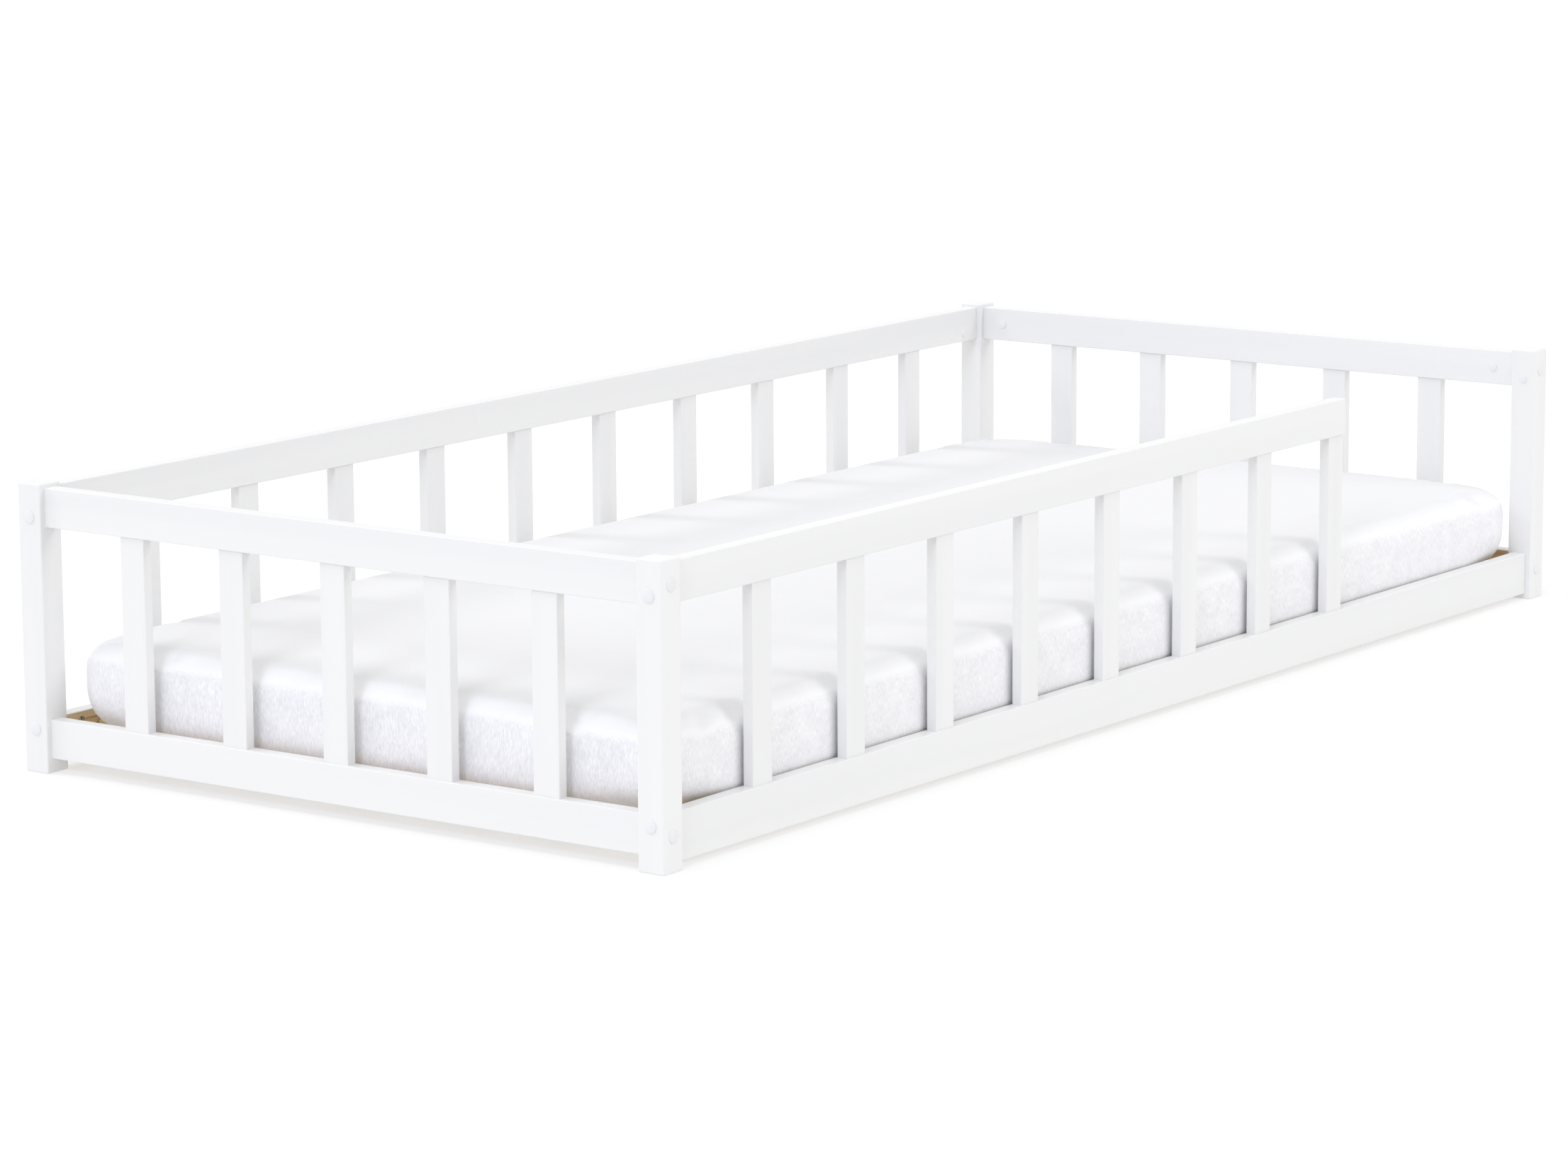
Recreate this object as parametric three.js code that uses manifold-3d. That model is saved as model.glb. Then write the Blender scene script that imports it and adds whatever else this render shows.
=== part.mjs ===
// Low floor bed for a toddler: a lacquered timber frame with a baluster fence all round,
// an open entry at the head end of the front side, a slatted base and a loose mattress.
//
// Millimetres. +Z is up, +X points to the head end, -Y is the side with the entry.
// The origin is on the floor, under the middle of the bed.

import * as THREE from 'three';
import { mergeVertices } from 'three/addons/utils/BufferGeometryUtils.js';
import Module from 'manifold-3d';

const wasm = await Module();
wasm.setup();

// Overall size
const BED_LENGTH = 2070;
const BED_WIDTH = 970;

// Corner posts
const POST_SIDE = 36;
const POST_HEIGHT = 355;
const POST_EASE = 2;

// Rails: all of one thickness, centred on the posts
const RAIL_THICKNESS = 20;
const RAIL_EASE = 1.5;
const TOP_RAIL_TOP = 350;
const TOP_RAIL_DEPTH = 48;
const LOWER_RAIL_TOP = 66;
const END_LOWER_RAIL_DEPTH = 48;
const SIDE_LOWER_RAIL_DEPTH = 58;

// Balusters stand between the rails of one side, with equal gaps
const BALUSTER_WIDTH = 37;
const BALUSTER_THICKNESS = 14;
const BALUSTER_EASE = 1;
const END_BALUSTERS = 5;
const BACK_BALUSTERS = 10;
const FRONT_BALUSTERS = 8;
const GUARD_RAIL_OVERHANG = 1.5;

// Slatted base: slats on a ledger along each side rail
const SLAT_TOP = 50;
const SLAT_THICKNESS = 16;
const SLAT_WIDTH = 70;
const SLAT_LENGTH = 912;
const SLATS = 14;
const LEDGER_WIDTH = 20;
const LEDGER_DEPTH = 24;
const LEDGER_LENGTH = 1990;
const BASE_EASE = 1;

// Mattress, pushed towards the head end and the entry side
const MATTRESS_LENGTH = 2000;
const MATTRESS_WIDTH = 900;
const MATTRESS_HEIGHT = 108;
const MATTRESS_CORNER = 55;
const MATTRESS_ROLL = 26;
const MATTRESS_SHIFT_X = 5;
const MATTRESS_SHIFT_Y = -5;
const REST_GAP = 0.3;

// Bolts: those along the bed pass 12 mm inside those across it, so they miss each other in a post
const BOLT_STAGGER = 12;
const BOLT_BORE = 3.5;
const BOLT_HEAD_BORE = 7;
const BOLT_HEAD_DEPTH = 6;
const NUT_BORE = 5;
const NUT_BORE_DEPTH = 15;
const NUT_FROM_END = 34;
const BOLT_PAST_NUT = 8;
const BORE_SEGMENTS = 12;
const OVERCUT = 1;

// Places worked out from the dimensions above
const POST_X = (BED_LENGTH - POST_SIDE) / 2;
const POST_Y = (BED_WIDTH - POST_SIDE) / 2;
const SIDE_RAIL_LENGTH = BED_LENGTH - 2 * POST_SIDE;
const END_RAIL_LENGTH = BED_WIDTH - 2 * POST_SIDE;
const TOP_RAIL_Z = TOP_RAIL_TOP - TOP_RAIL_DEPTH / 2;
const END_LOWER_RAIL_Z = LOWER_RAIL_TOP - END_LOWER_RAIL_DEPTH / 2;
const SIDE_LOWER_RAIL_Z = LOWER_RAIL_TOP - SIDE_LOWER_RAIL_DEPTH / 2;
const BALUSTER_HEIGHT = TOP_RAIL_TOP - TOP_RAIL_DEPTH - LOWER_RAIL_TOP;
const BALUSTER_Z = LOWER_RAIL_TOP + BALUSTER_HEIGHT / 2;
const CROSS_BOLT_Z = [TOP_RAIL_Z, END_LOWER_RAIL_Z];
const LONG_BOLT_Z = [TOP_RAIL_Z - BOLT_STAGGER, END_LOWER_RAIL_Z + BOLT_STAGGER];

const LACQUER = { color: 0xf1f1f3, roughness: 0.42, metalness: 0 };
const BARE_PINE = { color: 0xcdb894, roughness: 0.75, metalness: 0 };
const TERRY = { color: 0xe4e4ec, roughness: 0.95, metalness: 0 };

// ---------------------------------------------------------------- geometry helpers

const UNIT = { x: new THREE.Vector3(1, 0, 0), y: new THREE.Vector3(0, 1, 0), z: new THREE.Vector3(0, 0, 1) };
const NEXT = { x: 'y', y: 'z', z: 'x' };

// Turns a shape drawn along +Z so that it runs along the named axis instead.
function turnAlong(geometry, axis) {
  const across = NEXT[axis];
  const up = NEXT[across];
  return geometry.applyMatrix4(new THREE.Matrix4().makeBasis(UNIT[across], UNIT[up], UNIT[axis]));
}

// Keeps coordinates to a thousandth of a millimetre, so pieces that touch share one exact plane.
function settle(geometry) {
  const position = geometry.getAttribute('position');
  for (let i = 0; i < position.array.length; i += 1) {
    position.array[i] = Math.round(position.array[i] * 1000) / 1000;
  }
  geometry.computeVertexNormals();
  return geometry;
}

// A rectangle with its four corners cut off at 45 degrees.
function easedRectangle(width, depth, ease) {
  const w = width / 2;
  const d = depth / 2;
  const corners = [
    [-w + ease, -d], [w - ease, -d], [w, -d + ease], [w, d - ease],
    [w - ease, d], [-w + ease, d], [-w, d - ease], [-w, -d + ease],
  ];
  return new THREE.Shape(corners.map(([x, y]) => new THREE.Vector2(x, y)));
}

// A planed bar along one axis with eased arrises; size is [x, y, z]. Eased ends are optional.
function barGeometry(axis, size, ease, easedEnds = false) {
  const length = { x: size[0], y: size[1], z: size[2] };
  const width = length[NEXT[axis]];
  const depth = length[NEXT[NEXT[axis]]];
  const trim = easedEnds ? ease : 0;
  const section = easedRectangle(width - 2 * trim, depth - 2 * trim, ease);
  const geometry = new THREE.ExtrudeGeometry(section, {
    depth: length[axis] - 2 * trim,
    bevelEnabled: easedEnds,
    bevelThickness: trim,
    bevelSize: trim,
    bevelSegments: 1,
  });
  geometry.translate(0, 0, -length[axis] / 2 + trim);
  return settle(turnAlong(geometry, axis));
}

// A round cutter along one axis, between two places on it; the other two coordinates are its centre.
function boreGeometry(axis, from, to, centre, radius) {
  const geometry = new THREE.CylinderGeometry(radius, radius, to - from, BORE_SEGMENTS);
  geometry.rotateX(Math.PI / 2);
  geometry.translate(0, 0, (from + to) / 2);
  turnAlong(geometry, axis);
  return geometry.translate(centre[0], centre[1], centre[2]);
}

function toSolid(geometry) {
  const bare = geometry.clone();
  bare.deleteAttribute('normal');
  bare.deleteAttribute('uv');
  const merged = mergeVertices(bare, 1e-4);
  const mesh = new wasm.Mesh({
    numProp: 3,
    vertProperties: new Float32Array(merged.getAttribute('position').array),
    triVerts: new Uint32Array(merged.getIndex().array),
  });
  return new wasm.Manifold(mesh);
}

function fromSolid(solid) {
  const mesh = solid.getMesh();
  const geometry = new THREE.BufferGeometry();
  geometry.setAttribute('position', new THREE.BufferAttribute(new Float32Array(mesh.vertProperties), 3));
  geometry.setIndex(new THREE.BufferAttribute(new Uint32Array(mesh.triVerts), 1));
  return settle(geometry);
}

function drilled(geometry, bores) {
  let solid = toSolid(geometry);
  for (const bore of bores) {
    solid = solid.subtract(toSolid(bore));
  }
  return fromSolid(solid);
}

function piece(name, geometry, finish, position) {
  const mesh = new THREE.Mesh(geometry, new THREE.MeshStandardMaterial(finish));
  mesh.name = name;
  mesh.position.set(...position);
  return mesh;
}

// ---------------------------------------------------------------- posts

// One bolt hole through a post, with a pocket for the bolt head in the face that points outwards.
function postBores(axis, outward, height) {
  const half = POST_SIDE / 2;
  const centre = [0, 0, height - POST_HEIGHT / 2];
  const pocket = [outward * (half - BOLT_HEAD_DEPTH), outward * (half + OVERCUT)].sort((a, b) => a - b);
  return [
    boreGeometry(axis, -half - OVERCUT, half + OVERCUT, centre, BOLT_BORE),
    boreGeometry(axis, pocket[0], pocket[1], centre, BOLT_HEAD_BORE),
  ];
}

// All four posts are drilled alike, so the entry post has one bolt hole that is not used.
function post(name, endSign, sideSign) {
  const bar = barGeometry('z', [POST_SIDE, POST_SIDE, POST_HEIGHT], POST_EASE, true);
  const bores = [
    ...LONG_BOLT_Z.flatMap((height) => postBores('x', endSign, height)),
    ...CROSS_BOLT_Z.flatMap((height) => postBores('y', sideSign, height)),
  ];
  const position = [endSign * POST_X, sideSign * POST_Y, POST_HEIGHT / 2];
  return piece(name, drilled(bar, bores), LACQUER, position);
}

// ---------------------------------------------------------------- rails

// The holes at one end of a rail: one for the bolt along the rail, and one from the inner face for
// the barrel nut that the bolt screws into. The height is counted from the middle of the rail.
function railEndBores(axis, end, length, inward, height) {
  const face = (end * length) / 2;
  const nut = face - end * NUT_FROM_END;
  const bolt = [face + end * OVERCUT, nut - end * BOLT_PAST_NUT].sort((a, b) => a - b);
  const half = RAIL_THICKNESS / 2;
  const pocket = [inward * (half - NUT_BORE_DEPTH), inward * (half + OVERCUT)].sort((a, b) => a - b);
  const across = axis === 'x' ? 'y' : 'x';
  const nutCentre = axis === 'x' ? [nut, 0, height] : [0, nut, height];
  return [
    boreGeometry(axis, bolt[0], bolt[1], [0, 0, height], BOLT_BORE),
    boreGeometry(across, pocket[0], pocket[1], nutCentre, NUT_BORE),
  ];
}

// A rail along the bed. inward is the sign of the direction to the mattress.
function sideRail(name, sideSign, depth, z, boltZ) {
  const bar = barGeometry('x', [SIDE_RAIL_LENGTH, RAIL_THICKNESS, depth], RAIL_EASE);
  const bores = [-1, 1].flatMap((end) => railEndBores('x', end, SIDE_RAIL_LENGTH, -sideSign, boltZ - z));
  return piece(name, drilled(bar, bores), LACQUER, [0, sideSign * POST_Y, z]);
}

// A rail across the bed.
function endRail(name, endSign, depth, z, boltZ) {
  const bar = barGeometry('y', [RAIL_THICKNESS, END_RAIL_LENGTH, depth], RAIL_EASE);
  const bores = [-1, 1].flatMap((end) => railEndBores('y', end, END_RAIL_LENGTH, -endSign, boltZ - z));
  return piece(name, drilled(bar, bores), LACQUER, [endSign * POST_X, 0, z]);
}

// The short top rail of the front: bolted to the foot post, free at the entry.
function guardRail() {
  const start = -SIDE_RAIL_LENGTH / 2;
  const end = balusterPlace(FRONT_BALUSTERS - 1, BACK_BALUSTERS, SIDE_RAIL_LENGTH)
    + BALUSTER_WIDTH / 2 + GUARD_RAIL_OVERHANG;
  const length = end - start;
  const bar = barGeometry('x', [length, RAIL_THICKNESS, TOP_RAIL_DEPTH], RAIL_EASE);
  const bores = railEndBores('x', -1, length, 1, LONG_BOLT_Z[0] - TOP_RAIL_Z);
  return piece('guard_rail_front', drilled(bar, bores), LACQUER, [(start + end) / 2, -POST_Y, TOP_RAIL_Z]);
}

// ---------------------------------------------------------------- balusters

// The middle of baluster number index, where count of them share a rail with equal gaps.
function balusterPlace(index, count, railLength) {
  const gap = (railLength - count * BALUSTER_WIDTH) / (count + 1);
  return -railLength / 2 + gap + BALUSTER_WIDTH / 2 + index * (gap + BALUSTER_WIDTH);
}

function sideBalusters(name, sideSign, count) {
  const meshes = [];
  for (let i = 0; i < count; i += 1) {
    const bar = barGeometry('z', [BALUSTER_WIDTH, BALUSTER_THICKNESS, BALUSTER_HEIGHT], BALUSTER_EASE);
    const x = balusterPlace(i, BACK_BALUSTERS, SIDE_RAIL_LENGTH);
    const label = String(i + 1).padStart(2, '0');
    meshes.push(piece(`${name}_${label}`, bar, LACQUER, [x, sideSign * POST_Y, BALUSTER_Z]));
  }
  return meshes;
}

function endBalusters(name, endSign) {
  const meshes = [];
  for (let i = 0; i < END_BALUSTERS; i += 1) {
    const bar = barGeometry('z', [BALUSTER_THICKNESS, BALUSTER_WIDTH, BALUSTER_HEIGHT], BALUSTER_EASE);
    const y = balusterPlace(i, END_BALUSTERS, END_RAIL_LENGTH);
    meshes.push(piece(`${name}_${i + 1}`, bar, LACQUER, [endSign * POST_X, y, BALUSTER_Z]));
  }
  return meshes;
}

// ---------------------------------------------------------------- slatted base

function ledger(name, sideSign) {
  const bar = barGeometry('x', [LEDGER_LENGTH, LEDGER_WIDTH, LEDGER_DEPTH], BASE_EASE);
  const y = sideSign * (POST_Y - RAIL_THICKNESS / 2 - LEDGER_WIDTH / 2);
  const z = SLAT_TOP - SLAT_THICKNESS - LEDGER_DEPTH / 2;
  return piece(name, bar, BARE_PINE, [0, y, z]);
}

function slats() {
  const clear = BED_LENGTH - POST_SIDE - RAIL_THICKNESS;
  const gap = (clear - SLATS * SLAT_WIDTH) / (SLATS + 1);
  const meshes = [];
  for (let i = 0; i < SLATS; i += 1) {
    const bar = barGeometry('y', [SLAT_WIDTH, SLAT_LENGTH, SLAT_THICKNESS], BASE_EASE);
    const x = -clear / 2 + gap + SLAT_WIDTH / 2 + i * (gap + SLAT_WIDTH);
    const label = String(i + 1).padStart(2, '0');
    meshes.push(piece(`slat_${label}`, bar, BARE_PINE, [x, 0, SLAT_TOP - SLAT_THICKNESS / 2]));
  }
  return meshes;
}

// ---------------------------------------------------------------- mattress

function roundedRectangle(width, depth, radius) {
  const w = width / 2;
  const d = depth / 2;
  const shape = new THREE.Shape();
  shape.absarc(w - radius, -d + radius, radius, -Math.PI / 2, 0, false);
  shape.absarc(w - radius, d - radius, radius, 0, Math.PI / 2, false);
  shape.absarc(-w + radius, d - radius, radius, Math.PI / 2, Math.PI, false);
  shape.absarc(-w + radius, -d + radius, radius, Math.PI, Math.PI * 1.5, false);
  shape.closePath();
  return shape;
}

function mattress() {
  const roll = MATTRESS_ROLL;
  const outline = roundedRectangle(
    MATTRESS_LENGTH - 2 * roll,
    MATTRESS_WIDTH - 2 * roll,
    MATTRESS_CORNER - roll,
  );
  const geometry = new THREE.ExtrudeGeometry(outline, {
    depth: MATTRESS_HEIGHT - 2 * roll,
    bevelThickness: roll,
    bevelSize: roll,
    bevelSegments: 3,
    curveSegments: 5,
  });
  geometry.translate(0, 0, roll);
  const position = [MATTRESS_SHIFT_X, MATTRESS_SHIFT_Y, SLAT_TOP + REST_GAP];
  return piece('mattress', settle(geometry), TERRY, position);
}

// ---------------------------------------------------------------- assembly

function group(children) {
  const result = new THREE.Group();
  result.add(...children);
  return result;
}

const posts = group([
  post('post_foot_front', -1, -1),
  post('post_foot_back', -1, 1),
  post('post_head_front', 1, -1),
  post('post_head_back', 1, 1),
]);

const footEnd = group([
  endRail('top_rail_foot', -1, TOP_RAIL_DEPTH, TOP_RAIL_Z, CROSS_BOLT_Z[0]),
  endRail('bottom_rail_foot', -1, END_LOWER_RAIL_DEPTH, END_LOWER_RAIL_Z, CROSS_BOLT_Z[1]),
  ...endBalusters('baluster_foot', -1),
]);

const headEnd = group([
  endRail('top_rail_head', 1, TOP_RAIL_DEPTH, TOP_RAIL_Z, CROSS_BOLT_Z[0]),
  endRail('bottom_rail_head', 1, END_LOWER_RAIL_DEPTH, END_LOWER_RAIL_Z, CROSS_BOLT_Z[1]),
  ...endBalusters('baluster_head', 1),
]);

const backSide = group([
  sideRail('top_rail_back', 1, TOP_RAIL_DEPTH, TOP_RAIL_Z, LONG_BOLT_Z[0]),
  sideRail('bottom_rail_back', 1, SIDE_LOWER_RAIL_DEPTH, SIDE_LOWER_RAIL_Z, LONG_BOLT_Z[1]),
  ...sideBalusters('baluster_back', 1, BACK_BALUSTERS),
]);

const frontSide = group([
  guardRail(),
  sideRail('bottom_rail_front', -1, SIDE_LOWER_RAIL_DEPTH, SIDE_LOWER_RAIL_Z, LONG_BOLT_Z[1]),
  ...sideBalusters('baluster_front', -1, FRONT_BALUSTERS),
]);

const base = group([ledger('ledger_front', -1), ledger('ledger_back', 1), ...slats()]);

const bed = group([posts, footEnd, headEnd, backSide, frontSide, base, mattress()]);

export default bed;
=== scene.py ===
"""A low floor bed for a toddler: a lacquered timber frame with a baluster fence, an open entry at
the head end of the front side, a slatted base, and a mattress in a fitted terry sheet.

Metres. +Z is up, +X points to the head end and -Y to the side with the entry.
"""

import logging
import math
from collections.abc import Callable, Iterable, Sequence
from dataclasses import dataclass, field
from enum import Enum
from functools import partial

import bmesh
import bpy
from mathutils import Matrix, Vector, noise


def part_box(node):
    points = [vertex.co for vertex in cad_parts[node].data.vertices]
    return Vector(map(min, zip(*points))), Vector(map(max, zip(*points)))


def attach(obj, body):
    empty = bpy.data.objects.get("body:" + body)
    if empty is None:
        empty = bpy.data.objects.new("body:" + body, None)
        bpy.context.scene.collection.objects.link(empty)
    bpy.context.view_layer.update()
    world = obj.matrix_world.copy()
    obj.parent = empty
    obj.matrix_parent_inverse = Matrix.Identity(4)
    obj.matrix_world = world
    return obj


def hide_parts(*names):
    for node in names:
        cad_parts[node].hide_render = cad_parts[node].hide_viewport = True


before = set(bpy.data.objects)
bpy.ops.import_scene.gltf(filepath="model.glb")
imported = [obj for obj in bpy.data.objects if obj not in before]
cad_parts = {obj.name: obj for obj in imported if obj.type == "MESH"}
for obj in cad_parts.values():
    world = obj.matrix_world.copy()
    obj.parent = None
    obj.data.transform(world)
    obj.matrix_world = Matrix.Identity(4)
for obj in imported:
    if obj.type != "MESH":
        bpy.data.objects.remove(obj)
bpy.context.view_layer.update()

LOG = logging.getLogger("toddler_bed")
MM = 0.001
FRAME_BODY = "bed_frame"
MATTRESS_BODY = "mattress"

Edge = bmesh.types.BMEdge
Mesh = bmesh.types.BMesh
Material = bpy.types.Material
Piece = bpy.types.Object
Socket = bpy.types.NodeSocket
Tree = bpy.types.NodeTree
Inputs = dict[str | int, object]
Adder = Callable[..., Socket | None]


# ------------------------------------------------------------------ names and directions


class Direction(Enum):
    """A direction with a word for it in names."""

    @property
    def label(self) -> str:
        """The word used in names."""
        return self.name.lower()


class Axis(Direction):
    """A direction of the bed, by its place in a vector."""

    X = 0
    Y = 1
    Z = 2

    def unit(self, sign: float = 1.0) -> Vector:
        """The unit vector along this axis, times sign."""
        return Vector(sign if place == self.value else 0.0 for place in range(3))


class End(Direction):
    """An end of the bed, with the sign of its X."""

    FOOT = -1
    HEAD = 1


class Side(Direction):
    """A long side of the bed, with the sign of its Y."""

    FRONT = -1
    BACK = 1


# ------------------------------------------------------------------ finishes

# The output that is used of each kind of node, unless another is asked for.
OUTPUTS = {
    "BsdfPrincipled": "BSDF", "Bump": "Normal", "MapRange": "Result", "Mapping": "Vector",
    "Math": 0, "Mix": 2, "SeparateXYZ": "Z", "TexCoord": "Object", "TexNoise": "Fac",
    "TexVoronoi": "Distance", "TexWave": "Fac", "ValToRGB": "Color",
}


def linear(hex_colour: str) -> tuple[float, float, float, float]:
    """Turns an sRGB hex colour into the linear values that shaders read.

    Args:
        hex_colour: Six hex digits after a hash sign.

    Returns:
        Linear red, green and blue, and an alpha of 1.
    """
    levels = [int(hex_colour[i:i + 2], 16) / 255 for i in (1, 3, 5)]
    red, green, blue = (
        v / 12.92 if v <= 0.04045 else ((v + 0.055) / 1.055) ** 2.4 for v in levels
    )
    return red, green, blue, 1.0


def add_node(
    tree: Tree, kind: str, inputs: Inputs | None = None, stops: Sequence[tuple[float, str]] = (),
    out: str | int | None = None, **settings: object,
) -> Socket | None:
    """Adds a node with its settings, its input values and its links.

    Args:
        tree: The node tree to add to.
        kind: The node's type name, without its ShaderNode prefix.
        inputs: Socket name or number, to a value or to the output socket that feeds it.
        stops: Place and hex colour of each stop, where the node has a colour ramp: the first,
            the last, and then those between.
        out: The output wanted, if it isn't the usual one.
        settings: The node's own properties.

    Returns:
        The output wanted, or None for a node without one.
    """
    made = tree.nodes.new(f"ShaderNode{kind}")
    for name, value in settings.items():
        setattr(made, name, value)
    for socket, value in (inputs or {}).items():
        if isinstance(value, Socket):
            tree.links.new(value, made.inputs[socket])
        else:
            made.inputs[socket].default_value = value
    for number, (place, colour) in enumerate(stops):
        ramp = made.color_ramp.elements
        stop = ramp[number] if number < 2 else ramp.new(place)
        stop.position = place
        stop.color = linear(colour)
    wanted = OUTPUTS.get(kind) if out is None else out
    return None if wanted is None else made.outputs[wanted]


def stretched(axis: Axis, amount: float) -> Vector:
    """A pattern's scale, less than 1 on the one axis that the pattern is drawn out along."""
    return Vector(amount if place == axis.value else 1.0 for place in range(3))


@dataclass(frozen=True)
class Finish:
    """A real surface, told by what feeds its shader."""

    def inputs(self, add: Adder, place: Socket) -> Inputs:
        """What feeds the shader, by socket. Each finish has its own."""
        raise NotImplementedError

    def material(self, name: str) -> Material:
        """Makes a material of this finish.

        Args:
            name: The material's name.

        Returns:
            The new material.
        """
        material = bpy.data.materials.new(name)
        material.use_nodes = True
        tree = material.node_tree
        tree.nodes.clear()
        add = partial(add_node, tree)
        shader = add("BsdfPrincipled", self.inputs(add, add("TexCoord")))
        add("OutputMaterial", {"Surface": shader})
        return material


@dataclass(frozen=True)
class Lacquer(Finish):
    """White water-based lacquer, sprayed in two coats on planed pine and rubbed down.

    It gives a satin film whose highlights are broad and soft. The grain only just shows through
    as fine ridges along the piece, and the spray leaves a slight texture all over.
    """

    grain: Axis
    white: str = "#E6E6E5"
    thin_coat: str = "#E3E3E3"
    grain_width: float = 2.2 * MM
    grain_run: float = 60 * MM
    spray_grain: float = 1.6 * MM
    patch_width: float = 45 * MM

    def inputs(self, add: Adder, place: Socket) -> Inputs:
        """The film, over the grain.

        Args:
            add: Adds a node to the material's tree.
            place: The point, in the piece's own metres.

        Returns:
            What feeds the shader, by socket.
        """
        scale = stretched(self.grain, self.grain_width / self.grain_run)
        along = add("Mapping", {"Vector": place, "Scale": scale})
        grain = add("TexNoise", {
            "Vector": along, "Scale": 1 / self.grain_width, "Detail": 3.0, "Roughness": 0.6,
        })
        patches = add("TexNoise", {"Vector": along, "Scale": 1 / self.patch_width, "Detail": 2.0})
        spray = add("TexNoise", {"Vector": place, "Scale": 1 / self.spray_grain, "Detail": 2.0})
        ridges = add("Bump", {"Height": grain, "Strength": 0.09, "Distance": 0.2 * MM})
        return {
            "Base Color": add(
                "ValToRGB", {"Fac": patches}, [(0.35, self.thin_coat), (0.62, self.white)],
            ),
            "Roughness": add("MapRange", {"Value": grain, "To Min": 0.34, "To Max": 0.46}),
            "IOR": 1.5,
            "Normal": add("Bump", {
                "Height": spray, "Strength": 0.07, "Distance": 0.15 * MM, "Normal": ridges,
            }),
        }


@dataclass(frozen=True)
class BarePine(Finish):
    """Planed pine with no finish.

    It gives a matt straw colour with warm late-wood lines along the piece, a fine fibre, and the
    odd small knot.
    """

    grain: Axis
    early_wood: str = "#E0CDA8"
    mid_wood: str = "#D3BB90"
    late_wood: str = "#BC9865"
    knot: str = "#8A5F36"
    fibre_shade: str = "#DDD6CA"
    ring_spacing: float = 6 * MM
    ring_run: float = 420 * MM
    rings: float = 12.0
    fibre_width: float = 0.9 * MM
    fibre_run: float = 40 * MM
    knot_spacing: float = 260 * MM
    knot_shape: float = 0.55

    def inputs(self, add: Adder, place: Socket) -> Inputs:
        """The rings, the fibre over them, and the knots.

        Args:
            add: Adds a node to the material's tree.
            place: The point, in the piece's own metres.

        Returns:
            What feeds the shader, by socket.
        """
        ring_place, fibre_place, knot_place = (
            add("Mapping", {"Vector": place, "Scale": stretched(self.grain, amount)})
            for amount in (
                self.ring_spacing / self.ring_run, self.fibre_width / self.fibre_run,
                self.knot_shape,
            )
        )
        bend = add("TexNoise", {
            "Vector": ring_place, "Scale": 0.12 / self.ring_spacing, "Detail": 2.0,
        })
        rings = add("Math", {0: bend, 1: self.rings}, operation="MULTIPLY")
        ring = add("Math", {0: rings}, operation="FRACT")
        wood = add("ValToRGB", {"Fac": ring}, [
            (0.0, self.early_wood), (1.0, self.early_wood), (0.5, self.mid_wood),
            (0.88, self.late_wood),
        ])
        fibre = add("TexNoise", {
            "Vector": fibre_place, "Scale": 1 / self.fibre_width, "Detail": 2.0,
        })
        streak = add("ValToRGB", {"Fac": fibre}, [(0.3, self.fibre_shade), (0.7, "#FFFFFF")])
        streaked = add(
            "Mix", {0: 0.7, 6: wood, 7: streak}, data_type="RGBA", blend_type="MULTIPLY",
        )
        distance = add("TexVoronoi", {"Vector": knot_place, "Scale": 1 / self.knot_spacing})
        knots = add("MapRange", {
            "Value": distance, "From Min": 0.02, "From Max": 0.05, "To Min": 1.0, "To Max": 0.0,
        })
        return {
            "Base Color": add(
                "Mix", {0: knots, 6: streaked, 7: linear(self.knot)}, data_type="RGBA",
            ),
            "Roughness": 0.72, "IOR": 1.45,
            "Normal": add("Bump", {"Height": fibre, "Strength": 0.3, "Distance": 0.3 * MM}),
        }


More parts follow.
